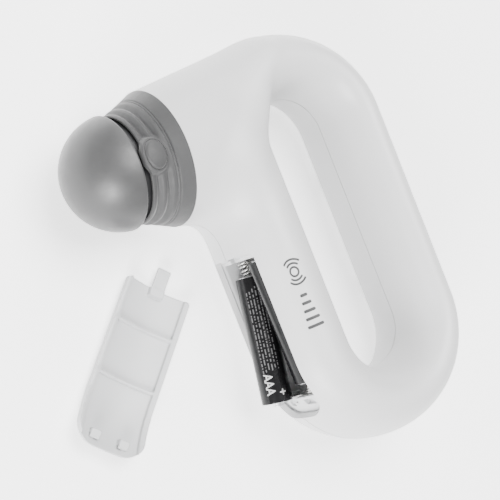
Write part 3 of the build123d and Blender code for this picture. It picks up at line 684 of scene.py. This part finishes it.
def boot_mesh(segments=360, rows=110):
    """Ribbed boot as one skin, with its lining and spigot; the pad's oval is cut out of it."""
    angle = np.arange(segments) * 2 * pi / segments
    round_by = ((angle - PAD_ANGLE + pi) % (2 * pi) - pi) * ROUND_RADIUS
    front = MOUTH_X - BOOT_LENGTH - 1.55 * np.exp(-((round_by / 4.2) ** 4))
    rings = []
    for share in np.linspace(0, 1, rows):
        x = MOUTH_X - BOOT_CLEAR + (front - MOUTH_X + BOOT_CLEAR) * share
        rings.append((x, boot_radius(x, round_by)))
    edge_x, edge_radius = rings[-1]
    for turn in np.radians((30, 60, 90)):
        rings.append((edge_x - BOOT_EDGE * sin(turn), edge_radius - BOOT_EDGE * (1 - cos(turn))))
    thickness = edge_radius - BOOT_EDGE - BOOT_BORE
    for share in (0.35, 0.7):
        rings.append((edge_x - BOOT_EDGE, edge_radius - BOOT_EDGE - thickness * share))
    for x, radius in ((-0.2, BOOT_BORE), (1.5, BOOT_BORE), (5.0, BOOT_BORE + 0.2), (10.6, SPIGOT_BORE)):
        rings.append((front + x, np.full(segments, radius)))
    spigot = [(SPIGOT_BACK, SPIGOT_BORE), (SPIGOT_BACK, SPIGOT_RADIUS), (0.3, SPIGOT_RADIUS)]
    spigot.append((-BOOT_CLEAR, SPIGOT_RADIUS + 0.3))
    for x, radius in spigot:
        rings.append((np.full(segments, MOUTH_X + x), np.full(segments, radius)))
    points = np.concatenate([on_head(x, radius, angle) for x, radius in rings])
    faces = ring_faces(len(rings), segments, closed=True)

    def outside_pad(spots):
        y, z = spots[:, 1] - HEAD_Y, spots[:, 2]
        turned_by = (np.arctan2(z, y) - PAD_ANGLE + pi) % (2 * pi) - pi
        facing = y * cos(PAD_ANGLE) + z * sin(PAD_ANGLE)
        level = (pad_level(spots[:, 0], turned_by * ROUND_RADIUS, PAD_GAP) - 1) * BUTTON_HALF_X
        return np.where(facing > 0, level, 50.0)

    return trim(points, faces, outside_pad)


def pad_mesh(segments=96):
    """Domed oval pad of the power button, with a rounded edge."""
    angle = np.arange(segments) * 2 * pi / segments
    rings = [(share, BUTTON_TOP - 0.55 * share**2) for share in np.linspace(0.02, 0.7, 14)]
    rings += [(0.7 + 0.3 * sin(a), 19.93 + 1.1 * cos(a)) for a in np.radians(np.linspace(10, 90, 12))]
    rings += [(1.0, radius) for radius in (19.4, 18.8, 18.3, PAD_SEAT + 0.1)]
    rings += [(0.97, PAD_SEAT), (0.5, PAD_SEAT), (0.02, PAD_SEAT)]
    points = []
    for share, radius in rings:
        x = BUTTON_X + BUTTON_HALF_X * share * np.cos(angle)
        round_by = BUTTON_HALF_ROUND * share * np.sin(angle)
        points.append(on_head(x, radius, PAD_ANGLE + round_by / ROUND_RADIUS))
    return np.concatenate(points), ring_faces(len(rings), segments)


make_piece("ribbed_boot", boot_mesh(), "casing", BOOT_GREY, ["rubber_boot"], sharp=60)
make_piece("button_pad", pad_mesh(), "power_button", BOOT_GREY, ["power_button"], sharp=70)


# ======================================================= massage ball ====
BALL_LOW, BALL_HIGH = box_mm("massage_ball")
BALL_RADIUS = BALL_HIGH[2]
BALL_X = BALL_LOW[0] + BALL_RADIUS
BALL_WALL = 2.0
RIM_X = BALL_HIGH[0]
RIM_ROUND = 0.7
POST_CIRCLE = 13.9
POST_RADIUS = 1.9
POST_BORE = 0.75
POST_BACK = -4.2
POST_FRONT = -9.6


def ball_mesh():
    """Hollow dome with a rounded rim, and the three posts that its screws hold."""
    rim = -(RIM_X - BALL_X)
    inner = BALL_RADIUS - BALL_WALL
    outer_stop = degrees(asin((rim + RIM_ROUND) / BALL_RADIUS))
    inner_stop = degrees(asin((rim + RIM_ROUND) / inner))
    profile = arc((0, 0), BALL_RADIUS, 89.9, outer_stop, 60)
    edge = profile[-1][0] - RIM_ROUND
    profile += arc((edge, rim + RIM_ROUND), RIM_ROUND, 0, -90, 8)[1:]
    hollow = arc((0, 0), inner, inner_stop, 89.9, 40)
    profile += [(hollow[0][0] + 0.3, rim)] + hollow
    dome = lathe(profile, 128)
    dome = (placed(dome[0], (BALL_X, HEAD_Y, 0), (-1, 0, 0)), dome[1])
    posts = []
    for turn in np.radians((30, 150, 270)):
        section = [(POST_RADIUS, POST_BACK), (POST_RADIUS, POST_FRONT)]
        section += [(POST_BORE, POST_FRONT), (POST_BORE, POST_BACK)]
        post = lathe(section, 24, closed=True)
        place = (BALL_X, HEAD_Y + POST_CIRCLE * cos(turn), POST_CIRCLE * sin(turn))
        posts.append((placed(post[0], place, (1, 0, 0)), post[1]))
    return joined(dome, *posts)


make_piece("ball_dome", ball_mesh(), "head", BALL_GREY, ["massage_ball"])


# ======================================================== battery tray ====
TRAY_LOW, TRAY_HIGH = box_mm("battery_tray")
CELL_RADIUS = 5.25
CELL_Z = 5.6
CELL_X = -29.3
BAY_TOP_Y = 2.4
BAY_BOTTOM_Y = -46.5
BAY_HALF_WIDTH = 11.2
BAY_FLOOR_X = -23.6
TRAY_INSET = 3.0
TRAY_STEP = 0.45
FLANGE = 1.4  # how far the tray's edge runs on under the shell
RELIEF_X = -31.8  # bottom of the dip in the end wall, under the leaning cell
SADDLES = ((-43.0, -40.5), (-23.5, -21.0), (-8.0, -5.5))  # lowest and highest y of each


def tray_field(points):
    """Moulded tray: two cradles with a ridge between them, end walls, ledge, slots and catch."""
    x, y, z = points.T
    low = (-40, TRAY_LOW[1] - FLANGE, TRAY_LOW[2] - FLANGE)
    body = block_field(points, low, TRAY_HIGH + np.array([0, FLANGE, FLANGE]))
    inset = TRAY_INSET - 0.9 * ramp(window_field(points, 0), -0.7, -0.3)
    field = smooth_max(body, casing_field(points) + inset, 0.3)
    bay = block_field(points, (-44, BAY_BOTTOM_Y, -BAY_HALF_WIDTH), (BAY_FLOOR_X, BAY_TOP_Y, BAY_HALF_WIDTH))
    field = smooth_max(field, -bay, 0.35)
    cradle = np.hypot(x - CELL_X, np.abs(z) - CELL_Z) - CELL_RADIUS - 0.3
    floor = smooth_max(x - BAY_FLOOR_X - 0.5, BAY_FLOOR_X - 1.9 - x, 0.2)
    for low_y, high_y in SADDLES:
        saddle = np.maximum(floor, np.maximum(low_y - y, y - high_y))
        saddle = np.maximum(saddle, np.abs(z) - BAY_HALF_WIDTH - 0.5)
        field = smooth_min(field, smooth_max(saddle, -cradle, 0.2), 0.3)
    relief = block_field(points, (-44, BAY_BOTTOM_Y - 1.9, -10.9), (RELIEF_X, BAY_BOTTOM_Y + 0.5, -0.3))
    field = smooth_max(field, -relief, 0.3)
    notch = block_field(points, (-44, BAY_TOP_Y - 0.8, -2.9), (-34.2, 6.0, 2.9))
    field = smooth_max(field, -notch, 0.25)
    under = block_field(points, (-29.5, TRAY_LOW[1] - 2, -22), (-18, BAY_BOTTOM_Y - 1.6, 22))
    field = smooth_max(field, -under, 0.3)
    for side in (-1, 1):
        low = (-42, HOOK_Y - 1.0, side * HOOK_Z - 2.0)
        high = (-31.0, HOOK_Y + 1.0, side * HOOK_Z + 2.0)
        field = smooth_max(field, -block_field(points, low, high), 0.25)
    return field


tray_box = (TRAY_LOW - FLANGE - 1.0, TRAY_HIGH + FLANGE + 1.0)
tray_mesh = surface_net(tray_field, *tray_box, TRAY_STEP, relax=1)
make_piece("bay_tray", tray_mesh, "casing", TRAY_WHITE, ["battery_tray"], sharp=50)


# ==================================================== contacts, springs ====
def tube_along(path, radius, sides=12):
    """Round wire along a path of points, with closed ends."""
    path = np.array(path, float)
    along = unit(np.gradient(path, axis=0))
    side = unit(np.cross(along[:1], np.array([[0.31, 0.17, 0.94]])))[0]
    rings = []
    for place, heading in zip(path, along):
        side = side - heading * np.dot(side, heading)
        side = side / np.linalg.norm(side)
        other = np.cross(heading, side)
        turns = np.arange(sides) * 2 * pi / sides
        rings.append(place + radius * (np.outer(np.cos(turns), side) + np.outer(np.sin(turns), other)))
    return np.concatenate(rings), ring_faces(len(rings), sides)


SPRING_WIRE = 0.4
SPRING_TURNS = 3.75
SPRING_TAPER = 0.9  # how much narrower the coil is at its tip


def spring_mesh(node, root_high):
    """Cone-shaped battery spring, wide at its plate, inside its CAD box."""
    low, high = box_mm(node)
    length = high[1] - low[1] - 2 * SPRING_WIRE
    centre = (low + high) / 2
    shares = np.linspace(0, 1, 220)
    turns = shares * 2 * pi * SPRING_TURNS
    wide = (high[0] - low[0]) / 2 - SPRING_WIRE
    radius = wide - SPRING_TAPER * shares
    travel = length * ramp(shares, -0.1, 1.1)
    y = high[1] - SPRING_WIRE - travel if root_high else low[1] + SPRING_WIRE + travel
    path = np.stack([centre[0] + radius * np.cos(turns), y, centre[2] + radius * np.sin(turns)], 1)
    return tube_along(path, SPRING_WIRE)


for coil, node, root_high in (("upper_coil", "upper_spring", True), ("lower_coil", "lower_spring", False)):
    make_piece(coil, spring_mesh(node, root_high), "casing", NICKEL, [node])


# ============================================================== cells ====
CELL_LENGTH = 44.3
NUB_HEIGHT = 1.0
NUB_RADIUS = 1.9
CAN_RADIUS = 5.0
FOOT = 0.35
LABEL_TOP = CELL_LENGTH - NUB_HEIGHT - FOOT
PRINT_LIFT = 0.03
PRINT_STROKE = 0.23
END_TURNS = (0.6, 1.1)  # radians round a stroke's end at which its corners stand


def stroke(path, half_width):
    """Flat strip with round ends along a path of (along, across) points."""
    path = np.array(path, float)
    heading = unit(np.gradient(path, axis=0))
    side = np.stack([-heading[:, 1], heading[:, 0]], 1)
    edges = []
    for way in (1, -1):
        edge = [
            path[0] - heading[0] * half_width * sin(a) + way * side[0] * half_width * cos(a)
            for a in reversed(END_TURNS)
        ]
        edge += list(path + way * side * half_width)
        edge += [
            path[-1] + heading[-1] * half_width * sin(a) + way * side[-1] * half_width * cos(a)
            for a in END_TURNS
        ]
        edges.append(edge)
    left, right = edges
    count = len(left)
    faces = [[row, row + count, row + count + 1, row + 1] for row in range(count - 1)]
    return np.array(left + right), faces


class Cell:
    """One AAA cell: where it stands, and the places of points on its label."""

    def __init__(self, name, heading):
        self.name = name
        self.body = f"{name}_cell"
        self.heading = np.array(heading, float)
        self.side = np.array([-self.heading[1], self.heading[0], 0.0])
        low, high = box_mm(f"{name}_cell_jacket")
        middle = (low + high) / 2
        self.base = middle - self.heading * (FOOT + LABEL_TOP) / 2

    def stand(self, mesh_data):
        """A turned piece stood on the cell's base."""
        points, faces = mesh_data
        return placed(points, self.base, self.heading), faces

    def wrap(self, flat_points, turn):
        """Flat (along, up) print points bent round the label; the turn is in degrees from +Z."""
        angle = flat_points[:, 1] / CELL_RADIUS + radians(turn)
        radius = CELL_RADIUS + PRINT_LIFT
        outward = np.outer(np.cos(angle), (0, 0, 1)) + np.outer(np.sin(angle), self.side)
        return self.base + np.outer(flat_points[:, 0], self.heading) + radius * outward


def flat_bars(seed, rows, start, stop, row_pitch, height):
    """Rows of short plain bars that stand in for small print."""
    spread = np.random.RandomState(seed)
    points, faces = [], []
    for row in range(rows):
        place = start + spread.uniform(0, 2.0)
        while place < stop:
            length = spread.uniform(0.2, 1.1) if spread.uniform() < 0.7 else spread.uniform(1.1, 2.2)
            low = row * row_pitch
            faces.append([len(points) + corner for corner in range(4)])
            end, high = place + length, low + height
            points += [(place, low), (end, low), (end, high), (place, high)]
            place += length + spread.uniform(0.2, 0.8)
    return np.array(points), faces


def straight(start, stop, steps=10):
    """Straight print stroke in steps short enough to bend round the label."""
    return stroke(np.linspace(start, stop, steps + 1), PRINT_STROKE)


def size_letters(count=3, height=2.7, width=1.9, pitch=2.35):
    """Plain letters of the cell's size, drawn with strokes."""
    strokes = []
    for order in range(count):
        left = order * pitch
        right = left + width
        top = ((left + right) / 2, height)
        strokes.append(straight((left, 0), top))
        strokes.append(straight(top, (right, 0)))
        strokes.append(straight((left + 0.4, height * 0.3), (right - 0.4, height * 0.3)))
    return joined(*strokes)


def plus_sign(reach=0.85):
    """Plain plus sign."""
    return joined(straight((-reach, 0), (reach, 0)), straight((0, -reach), (0, reach)))


def print_piece(cell, name, flat, along, turn, material):
    """Print wrapped on a cell's label."""
    points, faces = flat
    wrapped = cell.wrap(points + np.array([along, 0.0]), turn)
    return make_piece(f"{cell.name}_{name}", (wrapped, faces), cell.body, material)


def build_cell(cell, print_turn):
    """Label, steel can with its crimped shoulder and nub, dished base and print of one cell."""
    label = [(CAN_RADIUS - 0.9, FOOT), (CELL_RADIUS - 0.35, FOOT)]
    label += arc((CELL_RADIUS - 0.35, FOOT + 0.35), 0.35, -90, 0, 5)[1:]
    label += arc((CELL_RADIUS - 0.35, LABEL_TOP - 0.35), 0.35, 0, 90, 5)
    label += [(CAN_RADIUS - 0.9, LABEL_TOP), (CAN_RADIUS - 0.9, LABEL_TOP - 0.2)]
    label += [(CAN_RADIUS + 0.02, LABEL_TOP - 0.5), (CAN_RADIUS + 0.02, FOOT + 0.5)]
    label.append((CAN_RADIUS - 0.9, FOOT + 0.2))
    skin = cell.stand(lathe(label, 96, closed=True))
    make_piece(f"{cell.name}_label", skin, cell.body, CELL_BLACK, [f"{cell.name}_cell_jacket"])
    top = CELL_LENGTH - NUB_HEIGHT
    can = [(0.02, FOOT + 0.3), (CAN_RADIUS - 0.02, FOOT + 0.3), (CAN_RADIUS - 0.02, LABEL_TOP - 0.6)]
    can += [(CAN_RADIUS - 0.95, LABEL_TOP - 0.05), (CAN_RADIUS - 1.3, top), (NUB_RADIUS + 0.5, top)]
    can += arc((NUB_RADIUS + 0.25, top + 0.25), 0.25, -90, -180, 4)[1:]
    can += arc((NUB_RADIUS - 0.3, CELL_LENGTH - 0.3), 0.3, 0, 90, 5) + [(0.02, CELL_LENGTH)]
    steel = cell.stand(lathe(can, 64))
    make_piece(f"{cell.name}_can", steel, cell.body, CELL_STEEL, [f"{cell.name}_cell_can"])
    foot = [(0.02, 0.16), (2.2, 0.16), (2.7, 0.0), (CAN_RADIUS - 0.9, 0.0), (CAN_RADIUS - 0.6, 0.15)]
    foot += [(CAN_RADIUS - 0.6, FOOT - 0.02), (0.02, FOOT - 0.02)]
    foot = cell.stand(lathe(foot, 64))
    make_piece(f"{cell.name}_foot", foot, cell.body, CELL_STEEL, [f"{cell.name}_cell_base"])
    rows = flat_bars(len(cell.name), 6, 3.5, 32.0, 1.08, 0.42)
    print_piece(cell, "small_print", rows, 0.0, print_turn, PRINT_SILVER)
    print_piece(cell, "size_print", size_letters(), 33.2, print_turn, PRINT_WHITE)
    print_piece(cell, "plus_print", plus_sign(), 39.6, print_turn + 58, PRINT_WHITE)


CELL_BLACK = (
    Shader("cell_black", (0.006, 0.006, 0.0065), 0.2, Specular_IOR_Level=0.22)
    .mottle(350, 0.3)
    .sheen_patches(420, 0.05)
    .grain(1300, 0.000012)
    .material
)
LEFT_LIFT = JOINTS["left_cell_lift"]["axis"]
build_cell(Cell("left", (-LEFT_LIFT[1], LEFT_LIFT[0], 0)), -62)
build_cell(Cell("right", (0, 1, 0)), -35)


# ============================================================ pictogram ====
PICTOGRAM_X = -29.2
PICTOGRAM_START_Y = -2.0
STROKE = 0.34
BAR_STROKE = 0.5
RING_AT = 4.6
RING_RADIUS = 1.5
BARS_AT = 12.6
BAR_PITCH = 2.6


def pictogram_mesh():
    """Generic vibration mark: a ring between arcs, and five level bars, laid on the near front limb."""
    turn = np.linspace(0, 2 * pi, 41)
    ring = np.stack([RING_AT + RING_RADIUS * np.cos(turn), RING_RADIUS * np.sin(turn)], 1)
    strokes = [stroke(ring, STROKE)]
    for reach in (2.8, 4.1):
        for facing in (0, pi):
            sweep = np.linspace(-0.75, 0.75, 15) + facing
            bow = np.stack([RING_AT + reach * np.cos(sweep), reach * np.sin(sweep)], 1)
            strokes.append(stroke(bow, STROKE))
    for order in range(5):
        height = 0.9 + 0.45 * order
        across = np.linspace(-height, height, 9)
        strokes.append(stroke(np.stack([np.full(9, BARS_AT + BAR_PITCH * order), across], 1), BAR_STROKE))
    flat, faces = joined(*strokes)
    start = np.stack([PICTOGRAM_X + flat[:, 1], PICTOGRAM_START_Y - flat[:, 0], np.full(len(flat), 20.0)], 1)
    laid = settle(start, casing_field)
    return laid + PRINT_LIFT * unit(gradient(casing_field, laid)), faces


make_piece("pictogram", pictogram_mesh(), "casing", PRINT_GREY)


# ================================================== carried-over pieces ====
SLOT_MATERIALS = {
    "casing_white": CASING_WHITE,
    "tray_white": TRAY_WHITE,
    "lid_white": LID_WHITE,
    "boot_grey": BOOT_GREY,
    "ball_grey": BALL_GREY,
    "dark_plastic": DARK_PLASTIC,
    "black_rubber": BLACK_RUBBER,
    "steel": STEEL,
    "contact_nickel": NICKEL,
    "board_green": BOARD_GREEN,
    "component_black": PART_BLACK,
    "lead_red": LEAD_RED,
    "lead_black": LEAD_BLACK,
    "bronze": BRONZE,
    "brass": BRASS,
    "weight_brass": BRASS,
    "cap_white": CAP_WHITE,
    "magnet_black": MAGNET,
    "copper_wire": COPPER,
    "cell_steel": CELL_STEEL,
    "cell_black": CELL_BLACK,
}
for subpart in frame["record"]["subparts"]:
    node = frame["nodes"][subpart["node"]]
    node.data.materials.clear()
    node.data.materials.append(SLOT_MATERIALS[subpart["material_slot"]])


# ============================================================== studio ====
CAMERA_PLACE = Vector((-242.3, 14.25, 336.2))
CAMERA_AIM = Vector((0.53556, -0.02418, -0.84415))
CAMERA_UP = Vector((0.32414, 0.92892, 0.17903))
CAMERA_LENS = 86.4
FLOOR_GLOW = 1.3
FLOOR_HALF = 3.0
WORLD_STRENGTH = 0.75
LIGHTS = [
    ("key_light", (-0.95, -0.6, 0.5), 0.6, 34.0),
    ("top_light", (0.15, 0.3, 1.2), 0.8, 34.0),
    ("back_light", (0.5, 0.9, 0.5), 0.7, 8.0),
]


def add_camera():
    """Camera at the photograph's viewing angle."""
    camera = bpy.data.objects.new("camera", bpy.data.cameras.new("camera"))
    bpy.context.scene.collection.objects.link(camera)
    camera.data.lens = CAMERA_LENS
    back = -CAMERA_AIM.normalized()
    right = CAMERA_UP.cross(back).normalized()
    turn = Matrix((right, back.cross(right), back)).transposed().to_4x4()
    camera.matrix_world = Matrix.Translation(CAMERA_PLACE * MM) @ turn
    bpy.context.scene.camera = camera


def add_floor():
    """Plain pale table top with a faint grain."""
    mesh = bpy.data.meshes.new("floor")
    corners = [(FLOOR_HALF * x, FLOOR_HALF * y, 0) for x, y in ((-1, -1), (1, -1), (1, 1), (-1, 1))]
    mesh.from_pydata(corners, [], [(0, 1, 2, 3)])
    glow = {"Emission_Color": (1, 1, 1, 1), "Emission_Strength": FLOOR_GLOW}
    mesh.materials.append(Shader("floor", (0.96, 0.96, 0.96), 0.75, **glow).mottle(8, 0.004).material)
    floor = bpy.data.objects.new("floor", mesh)
    floor.location.z = TABLE_Z * MM
    bpy.context.scene.collection.objects.link(floor)


def add_light(name, place, size, power):
    """Soft square light aimed at the object."""
    light = bpy.data.objects.new(name, bpy.data.lights.new(name, "AREA"))
    light.data.size = size
    light.data.energy = power
    light.location = place
    light.rotation_euler = (-Vector(place)).to_track_quat("-Z", "Y").to_euler()
    bpy.context.scene.collection.objects.link(light)


add_camera()
add_floor()
world = bpy.data.worlds.new("studio")
world.use_nodes = True
world.node_tree.nodes["Background"].inputs["Color"].default_value = (1, 1, 1, 1)
world.node_tree.nodes["Background"].inputs["Strength"].default_value = WORLD_STRENGTH
bpy.context.scene.world = world
for light_settings in LIGHTS:
    add_light(*light_settings)
